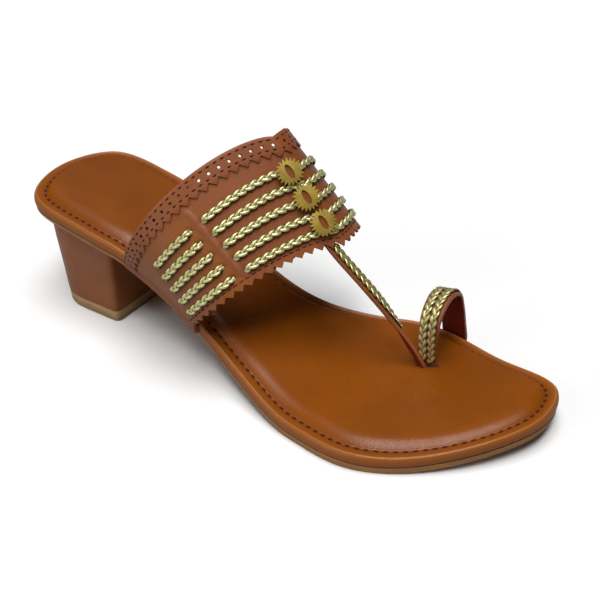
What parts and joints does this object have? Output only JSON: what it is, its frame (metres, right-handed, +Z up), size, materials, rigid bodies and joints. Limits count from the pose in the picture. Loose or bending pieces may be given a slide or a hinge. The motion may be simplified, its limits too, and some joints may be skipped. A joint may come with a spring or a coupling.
{
  "type": "heeled sandal",
  "caption": "Right-foot heeled sandal with a padded footbed, block heel, wide instep band with braided cords and medallions, toe strap and toe loop.",
  "frame": {"origin": "on the floor, under the middle of the sandal's box", "axes": "+X from heel to toe, +Y towards the big toe's side, +Z up"},
  "size_m": [0.2544, 0.098, 0.1023],
  "materials": {
    "sole_tan": "matt tan sole sheet with faintly mottled edge",
    "heel_leather": "smooth semi-gloss brown leather cover",
    "footbed_leather": "polished tan leather with fine grain and a stitched rim",
    "band_leather": "semi-matt tan leather, pinked and punched edges",
    "gold_braid": "flat braid of metallic gold strands",
    "gold_leather": "matt gold foil leather, toothed edge"
  },
  "bodies": {
    "root": {"outsole": "sole_tan", "heel_top_piece": "sole_tan", "heel_block": "heel_leather", "footbed": "footbed_leather", "upper": "band_leather", "collar_trim": "band_leather", "cord_1_outer": "gold_braid", "cord_1_top": "gold_braid", "cord_1_inner": "gold_braid", "cord_2_outer": "gold_braid", "cord_2_top": "gold_braid", "cord_2_inner": "gold_braid", "cord_3_outer": "gold_braid", "cord_3_top": "gold_braid", "cord_3_inner": "gold_braid", "cord_4_outer": "gold_braid", "cord_4_top": "gold_braid", "cord_4_inner": "gold_braid", "cord_5_outer": "gold_braid", "cord_5_top": "gold_braid", "cord_5_inner": "gold_braid", "medallion_1": "gold_leather", "medallion_2": "gold_leather", "medallion_3": "gold_leather", "toe_strap_braid": "gold_braid", "toe_loop_braid_rear": "gold_braid", "toe_loop_braid_front": "gold_braid"}
  },
  "joints": []
}
